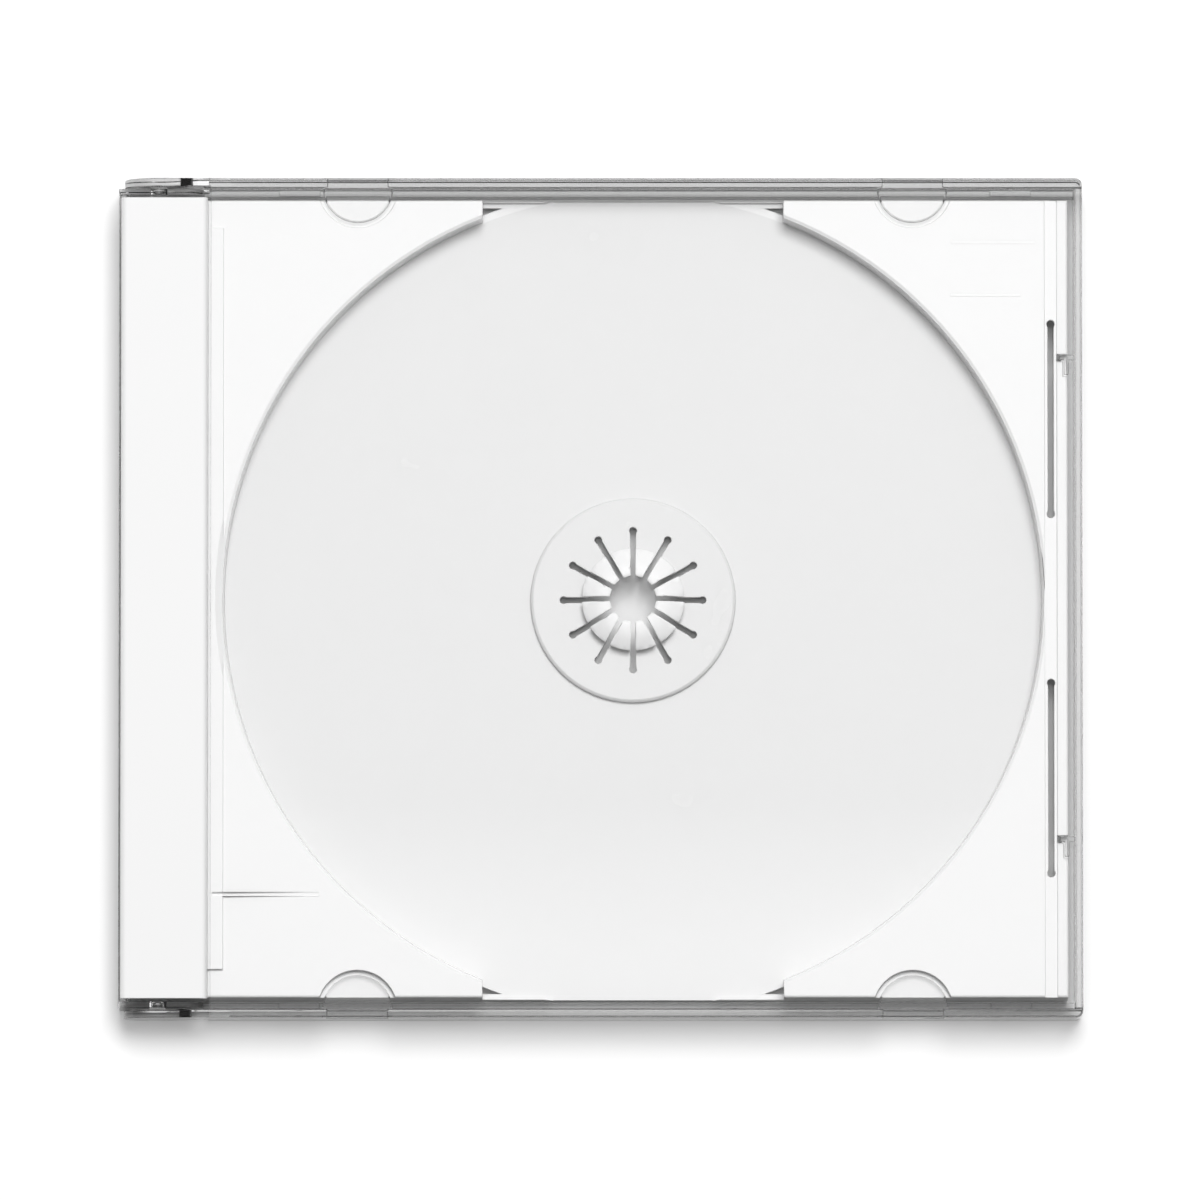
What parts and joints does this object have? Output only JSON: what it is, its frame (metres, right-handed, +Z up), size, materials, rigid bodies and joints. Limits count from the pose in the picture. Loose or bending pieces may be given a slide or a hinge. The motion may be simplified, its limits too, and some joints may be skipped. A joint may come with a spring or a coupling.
{
  "type": "cd case",
  "caption": "Clear hinged flat case for a disc: lid with booklet tabs, base and snap-in tray with a sprung hub rosette, shown closed.",
  "frame": {"origin": "middle of the base's outer face, on the surface that the closed case lies on", "axes": "+X from the hinge to the opening edge, +Y along the hinge towards the picture's upper edge, +Z up through the lid"},
  "size_m": [0.142, 0.124, 0.0101],
  "materials": {
    "clear_base": "clear polished polystyrene",
    "white_tray": "white polystyrene, polished, with a fine satin in the disc recess",
    "clear_lid": "clear polished polystyrene"
  },
  "bodies": {
    "base": {"base": "clear_base", "tray": "white_tray"},
    "lid": {"lid": "clear_lid"}
  },
  "joints": [
    {"name": "lid_hinge", "type": "hinge", "parent": "base", "child": "lid", "pos_m": [-0.0652, 0, 0.00505], "axis": [0, -1, 0], "range_deg": [0, 180]}
  ]
}
